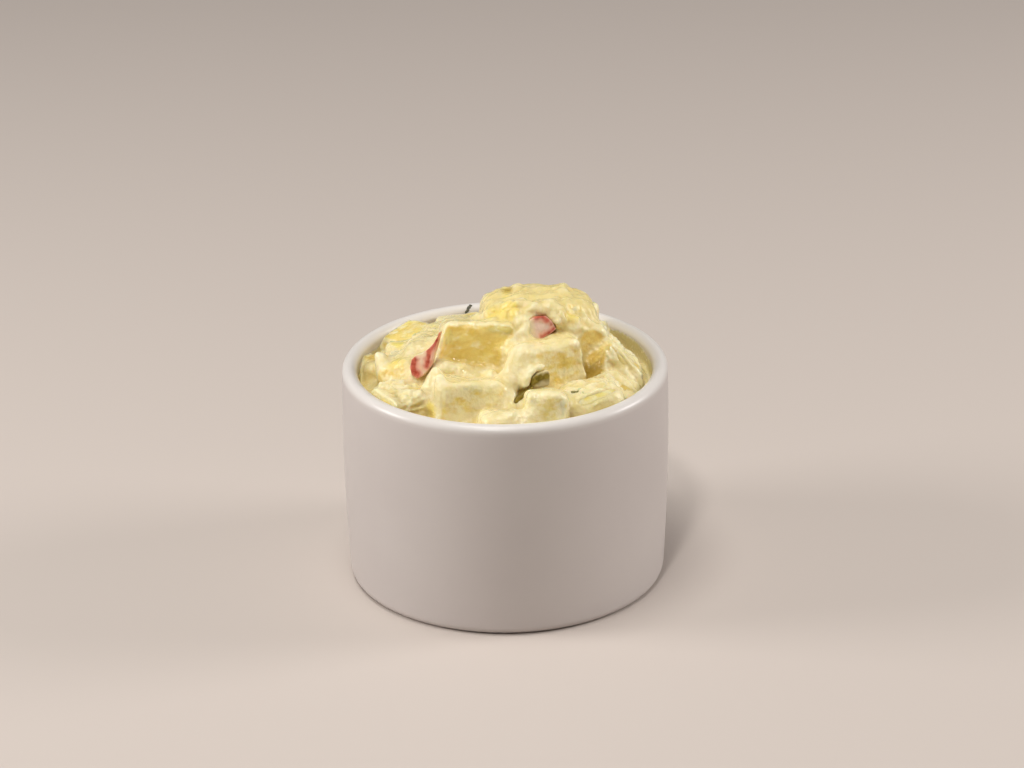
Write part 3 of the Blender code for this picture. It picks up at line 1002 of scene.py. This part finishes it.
def flesh(dice, number):
    """The shade and the smear of the die that each point belongs to."""
    tone, smear = np.array([(die.tone, die.smear) for die in dice])[number].T
    return {"tone": tone, "smear": smear}


def make_dice(dice, depth):
    """All potato dice as one mesh of closed blocks."""
    points = []
    faces = []
    owner = []
    for die in dice:
        own_points, own_faces = die.surface(HERO_STEPS if die.name in HEROES else DIE_STEPS)
        faces.append(own_faces + len(owner))
        points.append(own_points)
        owner += [die.number] * len(own_points)
    points = np.concatenate(points)
    numbers = {**flesh(dice, owner), "deep": sample(depth, points)}
    made = add_mesh("potato_dice", points, np.concatenate(faces), numbers)
    reshape(made, lambda shape: bmesh.ops.remove_doubles(shape, verts=shape.verts[:], dist=WELD * MM))
    made.data.shade_smooth()
    return made


def relax(shape):
    """Evens out the steps that the grid leaves."""
    inner = [vertex for vertex in shape.verts if not vertex.is_boundary]
    for _ in range(RELAX_ROUNDS):
        bmesh.ops.smooth_vert(shape, verts=inner, factor=0.5, **SMOOTH_AXES)


def close_below(shape):
    """Closes the dressing below its border with a plug down to the ramekin's floor."""
    rim = [edge for edge in shape.edges if edge.is_boundary]
    for height, inset in ((FLOOR + INNER_CORNER, 0.0), (FLOOR + PLUG_GAP, INNER_CORNER)):
        made = bmesh.ops.extrude_edge_only(shape, edges=rim)["geom"]
        rim = [item for item in made if isinstance(item, bmesh.types.BMEdge) and item.is_boundary]
        for vertex in {vertex for edge in rim for vertex in edge.verts}:
            flat = vertex.co.xy.normalized() * (inner_radius(height) - inset) * MM
            vertex.co = (flat.x, flat.y, height * MM)
    bmesh.ops.contextual_create(shape, geom=rim)
    bmesh.ops.recalc_face_normals(shape, faces=shape.faces[:])


def make_dressing(dice, field, nearest, owner, open_share, depth):
    """The dressing's surface with its fine relief, closed below."""
    points, faces = surface_net(field)
    film = sample(nearest, points)
    bare = sample(open_share, points)
    numbers = {
        "film": film,
        "bare": bare,
        "deep": sample(depth, points),
        **flesh(dice, pick(owner, points).astype(int)),
    }
    made = add_mesh("dressing", points, faces, numbers)
    reshape(made, relax)
    mesh = made.data
    points = read_vectors(mesh.vertices, "co") / MM
    wall = inner_radius(points[:, 2]) - np.hypot(points[:, 0], points[:, 1])
    push = relief(points, film, bare, wall)
    spot = [radius - np.linalg.norm(points - centre, axis=-1) for centre, radius in THIN_SPOTS]
    marks = {
        "relief": push,
        "tint": np.max([in_region(points, *row) for row in TINTS], axis=0),
        "spot": np.max(spot, axis=0),
        "wall": wall + WALL_MARK_LIFT * (1 - smooth_step(film, *WALL_MARK_ENDS)),
    }
    keep_numbers(mesh, marks)
    move_points(mesh, points + read_vectors(mesh.vertex_normals, "vector") * push[:, None])
    reshape(made, close_below)
    made.data.shade_smooth()
    return made


def noise_at(points, span, shift):
    """Perlin noise from about -1 to 1 at each point."""
    places = (points / span + shift).tolist()
    return np.array([noise.noise(place) for place in places])


def ridges_at(points, span, shift):
    """Noise with sharp crests, from 0 in the troughs to 1."""
    return 1 - np.abs(noise_at(points, span, shift)) * 2.2


def curds_at(points, span, shift):
    """Noise with round lumps and sharp creases between them, about -0.4 in the creases to 0.8."""
    return np.abs(noise_at(points, span, shift)) * 2.4 - 0.4


def sized_noise(points, size, span, shift, noise_of=noise_at):
    return size * noise_of(points, span, shift)


def in_region(points, centre, reach):
    away = np.linalg.norm((points - centre) / reach, axis=-1)
    return 1 - smooth_step(away, *REGION_ENDS)


def relief(points, film, bare, wall):
    """How far each point of the dressing is pushed out: soft curds with wrinkles and finer grain on them."""
    thick = smooth_step(film, *THICK_ENDS)
    soft = sized_noise(points, *SWELL) + sized_noise(points, *CURD, curds_at)
    push = soft * (SKIN_SWELL + (1 - SKIN_SWELL) * thick)
    for centre, reach, span, height in CURDS:
        curds = height * (curds_at(points, span, CURDS_SHIFT) - CURDS_LEVEL)
        push += in_region(points, centre, reach) * curds * (SKIN_CURDS + (1 - SKIN_CURDS) * thick)
    size, span, shift = RIDGE
    push += size * (ridges_at(points, span, shift) - RIDGE_LEVEL) * thick
    push += sized_noise(points, *GRAIN)
    for centre, reach, along, span, length, height in WRINKLES:
        along = np.array(along) / np.linalg.norm(along)
        squeezed = points + along * (points @ along * (span / length - 1))[:, None]
        wrinkles = ridges_at(squeezed, span, WRINKLES_SHIFT) - WRINKLES_LEVEL
        push += in_region(points, centre, reach) * height * wrinkles
    for centre, reach in SMOOTH:
        push *= 1 - SMOOTH_CALM * in_region(points, centre, reach)
    return push * smooth_step(wall, *WALL_CALM_ENDS) * (1 - BARE_CALM * bare * (1 - thick))


def new_material(name, roughness, colour_of=None):
    """A material with its tree and its shader, whose colour a function of the tree makes."""
    made = bpy.data.materials.new(name)
    made.use_nodes = True
    tree = made.node_tree
    shader = tree.nodes["Principled BSDF"]
    setting(shader, "Roughness", roughness)
    if colour_of:
        tree.links.new(colour_of(tree), shader.inputs["Base Color"])
    return made, tree, shader


def attribute(tree, name):
    node = tree.nodes.new("ShaderNodeAttribute")
    node.attribute_name = name
    return node.outputs["Fac"]


def noise_node(tree, span, detail=2.0, stretch=(1.0, 1.0, 1.0)):
    """Noise over the object's own metres that turns over about every span millimetres."""
    place = tree.nodes.new("ShaderNodeTexCoord")
    scale = tree.nodes.new("ShaderNodeMapping")
    setting(scale, "Scale", stretch)
    tree.links.new(place.outputs["Object"], scale.inputs["Vector"])
    made = tree.nodes.new("ShaderNodeTexNoise")
    setting(made, "Scale", 1 / (span * MM))
    setting(made, "Detail", detail)
    tree.links.new(scale.outputs["Vector"], made.inputs["Vector"])
    return made.outputs["Fac"]


def remap(tree, source, low, high, to_low=0.0, to_high=1.0):
    node = tree.nodes.new("ShaderNodeMapRange")
    values = {"From Min": low, "From Max": high, "To Min": to_low, "To Max": to_high}
    for name, value in values.items():
        setting(node, name, value)
    tree.links.new(source, node.inputs["Value"])
    return node.outputs[0]


def add(tree, first, second, share=1.0):
    """The first number plus a share of the second."""
    node = tree.nodes.new("ShaderNodeMath")
    node.operation = "MULTIPLY_ADD"
    tree.links.new(second, node.inputs[0])
    node.inputs[1].default_value = share
    tree.links.new(first, node.inputs[2])
    return node.outputs[0]


def mix(tree, factor, first, second):
    """A colour mixed from two, each a node's colour output or a plain colour."""
    node = tree.nodes.new("ShaderNodeMix")
    node.data_type = "RGBA"
    tree.links.new(factor, node.inputs["Factor"])
    for side, value in (("A", first), ("B", second)):
        socket = next(found for found in node.inputs if found.name == side and found.type == "RGBA")
        if isinstance(value, tuple):
            socket.default_value = (*value, 1.0)
        else:
            tree.links.new(value, socket)
    return next(found for found in node.outputs if found.type == "RGBA")


def wash(tree, colour, source, none_at, most_at, over, most=1.0):
    """The colour with another over it, from none to the most as the source goes from one value to another."""
    if isinstance(source, str):
        source = attribute(tree, source)
    return mix(tree, remap(tree, source, none_at, most_at, 0.0, most), colour, over)


def mottle(tree, first, second, span, detail=3.0, low=0.35, high=0.65, stretch=(1.0, 1.0, 1.0)):
    """A colour that wanders between two."""
    return wash(tree, first, noise_node(tree, span, detail, stretch), low, high, second)


def food_material(name, colour_of, roughness, subsurface, reach, grain=None):
    """Moist food: its colour is made in the node tree, and its grain is a span, a detail and a height."""
    made, tree, shader = new_material(name, roughness, colour_of)
    setting(shader, "IOR", FOOD_IOR)
    setting(shader, "Subsurface Weight", subsurface)
    setting(shader, "Subsurface Radius", FOOD_SCATTER)
    setting(shader, "Subsurface Scale", reach * MM)
    if grain:
        span, detail, height = grain
        bump = tree.nodes.new("ShaderNodeBump")
        setting(bump, "Distance", height * MM)
        tree.links.new(noise_node(tree, span, detail), bump.inputs["Height"])
        tree.links.new(bump.outputs["Normal"], shader.inputs["Normal"])
    return made


def potato_colour(tree):
    """Waxy boiled potato: cloudy yellow flesh, creamy where smeared with dressing, painted shade in the
    crevices.
    """
    colour = mottle(tree, (0.73, 0.49, 0.11), (0.87, 0.69, 0.26), 5.0, stretch=(1.0, 1.0, 1.8))
    colour = wash(tree, colour, "tone", -1.0, 1.0, (0.88, 0.75, 0.19), 0.8)
    wisps = noise_node(tree, 3.2, 4.0, (1.0, 1.0, 1.5))
    smeared = add(tree, wisps, attribute(tree, "smear"), 0.34)
    colour = wash(tree, colour, smeared, 0.60, 0.84, (0.93, 0.84, 0.52), 0.85)
    # Painted shade: brown where a point is shut in, in the crevices and at the bottom of open gaps
    return wash(tree, colour, "deep", 0.55, 0.85, (0.46, 0.30, 0.05))


def dressing_colour(tree):
    """Thick mayonnaise dressing: yellower where it is thin, with painted shade where it lies deep in
    crevices.

    Where it is only a smear on a bare cut side, the potato's own colour shows through it. Its relief has
    painted shade in its troughs and painted highlights on its crests; open crests are paler, partly from
    thicker cream and partly as painted light, and near the wall it is painted dark olive as shade.
    """
    colour = mottle(tree, (0.79, 0.68, 0.34), (0.87, 0.78, 0.49), 3.6, 4.0, 0.38, 0.62)
    colour = wash(tree, colour, "tint", 0.0, 1.0, (0.76, 0.63, 0.27), 0.65)
    colour = wash(tree, colour, "film", 1.1, 0.15, (0.84, 0.71, 0.26), 0.25)
    # Painted shade: brown where the dressing lies deep in crevices and at the bottom of open gaps
    colour = wash(tree, colour, "deep", 0.55, 0.85, (0.56, 0.40, 0.10))
    # Painted shade in the troughs of the relief and painted highlights on its crests
    colour = wash(tree, colour, "relief", 0.15, -0.35, (0.74, 0.55, 0.18), 0.35)
    colour = wash(tree, colour, "relief", 0.2, 0.7, (0.92, 0.86, 0.64), 0.4)
    # Paler where a point is open, on crests: partly thicker cream, partly painted light
    colour = wash(tree, colour, "deep", 0.42, 0.26, (0.90, 0.82, 0.55), 0.6)
    spotted = add(tree, attribute(tree, "spot"), noise_node(tree, 1.8, 4.0), 3.0)
    colour = wash(tree, colour, spotted, 0.6, 2.2, (0.84, 0.67, 0.17), 0.85)
    streaks = add(tree, attribute(tree, "bare"), noise_node(tree, 1.8, 4.0), 0.7)
    smeared = add(tree, streaks, attribute(tree, "film"), -0.8)
    colour = wash(tree, colour, smeared, 0.30, 1.0, potato_colour(tree))
    # Near the wall the film is painted dark olive: painted shade with a painted reflection of the heap in the
    # glaze, over the film's own colour; right at the wall it turns to the glaze's painted grey
    colour = wash(tree, colour, "wall", 1.0, 0.2, (0.49, 0.40, 0.16), 0.8)
    return wash(tree, colour, "wall", 0.26, 0.0, (0.58, 0.52, 0.40), 0.75)


def dressing_material():
    """The dressing, glossier in places than in others."""
    made = food_material("dressing", dressing_colour, 0.33, 0.5, 2.6, (1.1, 4.0, 0.28))
    tree = made.node_tree
    gloss = remap(tree, noise_node(tree, 2.0, 3.0), 0.35, 0.65, 0.12, 0.28)
    tree.links.new(gloss, tree.nodes["Principled BSDF"].inputs["Roughness"])
    return made


def strip_colour(tree, dark, light, span, films, veil):
    """A cut strip's own colour, under films further from its marks and under a veil of dressing."""
    colour = mottle(tree, dark, light, span)
    for none_at, most_at, over in films:
        colour = wash(tree, colour, "mark", none_at, most_at, over)
    return wash(tree, colour, "veil", -0.6, 0.9, veil)


def red_pepper_material(name, top_film):
    """Red flesh that turns pink and then creamy where the film of dressing over it thickens."""
    films = ((-0.5, 0.25, (0.82, 0.43, 0.31)), (0.15, 1.0, top_film))
    looks = ((0.38, 0.055, 0.028), (0.62, 0.16, 0.10), 1.4, films, (0.86, 0.74, 0.46))
    return food_material(name, lambda tree: strip_colour(tree, *looks), 0.28, 0.3, 1.0, (0.5, 3.0, 0.10))


def gherkin_material():
    films = ((-0.2, 0.8, (0.50, 0.41, 0.22)),)
    looks = ((0.15, 0.105, 0.008), (0.30, 0.22, 0.03), 1.2, films, (0.84, 0.72, 0.42))
    return food_material("gherkin", lambda tree: strip_colour(tree, *looks), 0.3, 0.2, 1.0, (0.5, 3.0, 0.10))


def green_material(name, dark, light):
    return food_material(name, lambda tree: mottle(tree, dark, light, 0.6, 2.0), 0.35, 0.2, 0.6)


def speck_colour(tree):
    return mottle(tree, (0.03, 0.035, 0.02), (0.12, 0.11, 0.07), 0.8, 2.0)


def china_colour_with_painted_light_and_shade(tree):
    """Glaze painted a warm grey on the walls as painted shade and a painted warm reflection, faintly warmer
    in patches, and lighter on the lip as painted light where its top catches the light.
    """
    # Painted shade: the glaze is a warm grey, darker than white, for the walls' shade and a warm reflection
    colour = mottle(tree, (0.565, 0.512, 0.485), (0.585, 0.535, 0.505), 30.0, 2.0, 0.3, 0.7)
    # Painted light: lighter from 59.6 mm up, on the top of the lip, which catches the light
    return wash(tree, colour, "height", 59.6, 62.0, (0.73, 0.69, 0.65))


def strip_mesh(name):
    """A strip cut out of its outline, its edges and faces softened, with its colour marks on its points."""
    outline, thickness, centre, turn = STRIPS[name]
    shape = bmesh.new()
    front = [shape.verts.new((u, -thickness / 2, w)) for u, w in outline]
    back = [shape.verts.new((u, thickness / 2, w)) for u, w in outline]
    shape.faces.new(front)
    shape.faces.new(back[::-1])
    for i in range(len(outline)):
        shape.faces.new((front[i], front[i - 1], back[i - 1], back[i]))
    bmesh.ops.recalc_face_normals(shape, faces=shape.faces[:])
    made = add_shape(f"{name}_piece", shape)
    remesh = made.modifiers.new("Remesh", "REMESH")
    remesh.mode = "VOXEL"
    remesh.voxel_size = STRIP_VOXEL
    smooth = made.modifiers.new("Smooth", "SMOOTH")
    smooth.factor = 0.5
    smooth.iterations = 5
    apply_modifiers(made)
    mesh = made.data
    points = read_vectors(mesh.vertices, "co")
    mark = [rope_distance(points[:, [0, 2]], path, width) for path, width in STRIP_MARKS[name]]
    mark = np.min(mark, axis=0) + sized_noise(points, *MARK_EDGE)
    push = sized_noise(points, *STRIP_LUMPS) + sized_noise(points, *STRIP_GRAIN)
    points += read_vectors(mesh.vertex_normals, "vector") * push[:, None]
    veil = sized_noise(points, *VEIL_EDGE) - rope_distance(points[:, [0, 2]], *STRIP_VEILS[name])
    keep_numbers(mesh, {"mark": mark, "veil": veil})
    mesh.shade_smooth()
    move_points(mesh, points @ turn_axes(turn).T + centre)
    return made


def make_strips():
    materials = {
        "red_pepper_left": red_pepper_material("red_pepper_left", (0.84, 0.60, 0.42)),
        "red_pepper_top": red_pepper_material("red_pepper_top", (0.85, 0.62, 0.50)),
    }
    gherkin = gherkin_material()
    for name in STRIPS:
        piece = strip_mesh(name)
        piece.data.materials.append(materials.get(name, gherkin))
        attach(piece, "root")
        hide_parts(name)


def add_lump(shape, place, normal, size, draw):
    """A small uneven lump at a place in metres: its sizes are in millimetres, the third along the normal."""
    spin = Matrix.Rotation(draw.uniform(0, 2 * math.pi), 3, "Z")
    turn = normal.to_track_quat("Z", "Y").to_matrix() @ spin
    made = bmesh.ops.create_icosphere(shape, subdivisions=2, radius=0.5)["verts"]
    shift = Vector([draw.uniform(0, 9) for _ in range(3)])
    for vertex in made:
        uneven = 1 + LUMP_UNEVEN * noise.noise(vertex.co * LUMP_TURNS + shift)
        own = Vector([axis * width * uneven for axis, width in zip(vertex.co, size)])
        vertex.co = turn @ own * MM + place


def scatter(name, material, rows, target, draw):
    """Small lumps where a piece's surface comes nearest to each row's place, as one piece."""
    tree = BVHTree.FromObject(target, bpy.context.evaluated_depsgraph_get())
    shape = bmesh.new()
    for place, size in rows:
        nearest, normal, _, _ = tree.find_nearest(Vector(place) * MM)
        add_lump(shape, nearest, normal, size, draw)
    piece = add_shape(name, shape)
    keep_numbers(piece.data, LUMP_NUMBERS)
    piece.data.shade_smooth()
    piece.data.materials.append(material)
    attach(piece, "root")


def make_bits(dressing, bowl):
    """Herb flecks and bits of gherkin skin in the dressing, the speck on the rim, and bubbles and drops."""
    draw = random.Random(FLECK_SEED)
    flecks = []
    for centre, reach, count in FLECKS:
        for _ in range(count):
            place = [middle + draw.gauss(0, 1) * spread for middle, spread in zip(centre, reach)]
            long = draw.uniform(*FLECK_LENGTHS)
            flecks.append((place, (long, long * draw.uniform(*FLECK_WIDTHS), FLECK_THICKNESS)))
    herb = green_material("herb", (0.50, 0.52, 0.22), (0.64, 0.64, 0.34))
    skin = green_material("gherkin_skin", (0.13, 0.11, 0.02), (0.30, 0.26, 0.07))
    dark, _, _ = new_material("dark_speck", 0.5, speck_colour)
    cream = dressing.data.materials[0]
    scatter("herb_flecks", herb, flecks, dressing, draw)
    scatter("gherkin_bits", skin, GHERKIN_BITS, dressing, draw)
    scatter("rim_speck", dark, SPECK, bowl, draw)
    scatter("bubbles", cream, BUBBLES, dressing, draw)
    scatter("wall_drops", cream, WALL_DROPS, bowl, draw)


def arc(centre, radius, start, end, steps):
    """Points on an arc in the (radius, height) plane, angles in degrees."""
    angles = [math.radians(start + (end - start) * i / steps) for i in range(steps + 1)]
    return [(centre[0] + radius * math.cos(a), centre[1] + radius * math.sin(a)) for a in angles]


def bowl_outline():
    """From the middle of the underside, up the wall, over the lip and down to the middle of the floor."""
    lip = WALL / 2
    lip_height = BOWL_HEIGHT - lip
    floor_height = FLOOR + INNER_CORNER
    foot = [(0.0, FOOT_RECESS), (FOOT_INNER_RADIUS - FOOT_RECESS, FOOT_RECESS), (FOOT_INNER_RADIUS, 0.0)]
    base_centre = (outer_radius(BASE_CORNER) - BASE_CORNER, BASE_CORNER)
    base_corner = arc(base_centre, BASE_CORNER, -90, 0, CORNER_STEPS)
    outside = [(outer_radius(z), z) for z in np.linspace(BASE_CORNER, lip_height, WALL_STEPS + 1)]
    lip_arc = arc((outer_radius(lip_height) - lip, lip_height), lip, 0, 180, LIP_STEPS)
    inside = [(inner_radius(z), z) for z in np.linspace(lip_height, floor_height, WALL_STEPS + 1)]
    corner_centre = (inner_radius(floor_height) - INNER_CORNER, floor_height)
    corner = arc(corner_centre, INNER_CORNER, 0, -90, CORNER_STEPS)
    return [*foot, *base_corner, *outside[1:], *lip_arc[1:], *inside[1:], *corner[1:], (0.0, FLOOR)]


def make_bowl():
    mesh = bpy.data.meshes.new("ramekin")
    points = [(radius * MM, 0.0, height * MM) for radius, height in bowl_outline()]
    mesh.from_pydata(points, [(i, i + 1) for i in range(len(points) - 1)], [])
    bowl = add_object("ramekin", mesh)
    screw = bowl.modifiers.new("Turn", "SCREW")
    screw.axis = "Z"
    screw.steps = TURN_STEPS
    screw.render_steps = TURN_STEPS
    screw.use_merge_vertices = True
    screw.merge_threshold = WELD * MM
    screw.use_normal_flip = True
    apply_modifiers(bowl)
    mesh = bowl.data
    mesh.shade_smooth()
    mesh.set_sharp_from_angle(angle=math.radians(BOWL_SHARP))
    keep_numbers(mesh, {"height": read_vectors(mesh.vertices, "co")[:, 2] / MM})
    mesh.materials.append(new_material("china", 0.32, china_colour_with_painted_light_and_shade)[0])
    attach(bowl, "root")
    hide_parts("bowl")
    return bowl


def make_heap():
    dice = [Die(name, number) for number, name in enumerate(DICE)]
    field, nearest, owner, open_share = fill_grid(dice)
    depth = crevice_depth(np.minimum(field, nearest) < 0)
    potato = make_dice(dice, depth)
    potato.data.materials.append(food_material("potato", potato_colour, 0.34, 0.5, 2.6, (1.1, 4.0, 0.25)))
    dressing = make_dressing(dice, field, nearest, owner, open_share, depth)
    dressing.data.materials.append(dressing_material())
    for piece in (potato, dressing):
        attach(piece, "root")
        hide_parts("salad")
    return dressing


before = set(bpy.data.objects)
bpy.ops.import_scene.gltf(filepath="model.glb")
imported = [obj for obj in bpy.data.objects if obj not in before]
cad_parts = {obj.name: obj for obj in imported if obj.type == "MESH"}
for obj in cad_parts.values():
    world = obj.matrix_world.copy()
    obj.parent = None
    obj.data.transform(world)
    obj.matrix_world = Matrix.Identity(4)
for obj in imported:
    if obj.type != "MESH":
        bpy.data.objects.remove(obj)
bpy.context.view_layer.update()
make_camera()
make_studio()
bowl = make_bowl()
dressing = make_heap()
make_strips()
make_bits(dressing, bowl)
